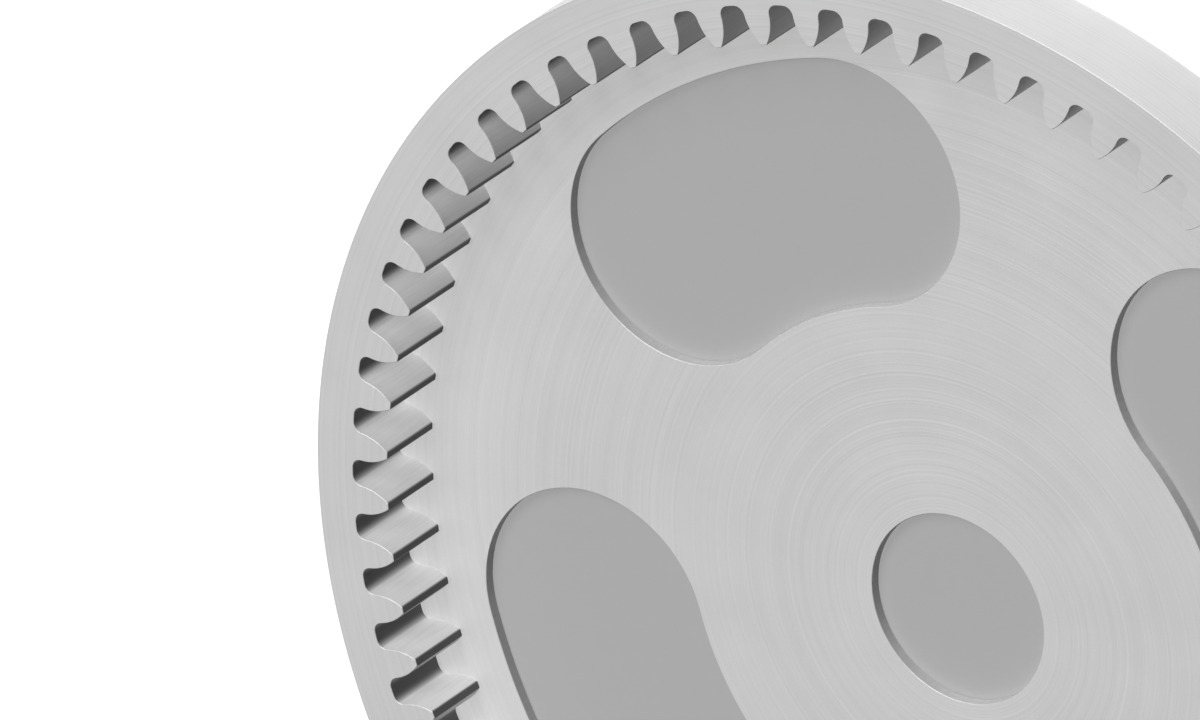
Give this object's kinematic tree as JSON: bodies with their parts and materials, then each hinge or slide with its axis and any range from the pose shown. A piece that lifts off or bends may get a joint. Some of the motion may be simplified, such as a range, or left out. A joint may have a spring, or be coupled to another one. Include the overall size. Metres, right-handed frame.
{
  "type": "internal gear",
  "caption": "Internal ring gear: teeth on the inside of a round rim, with a flat back web that has curved windows and a central bore.",
  "frame": {"origin": "centre of the gear on the back face of its web", "axes": "+Z along the gear's axis, from the web out of the open toothed side; +X through the middle of a window and of a tooth"},
  "size_m": [0.1542, 0.1542, 0.0098],
  "materials": {
    "steel": "satin machined steel"
  },
  "bodies": {
    "root": {"internal_gear": "steel"}
  },
  "joints": []
}
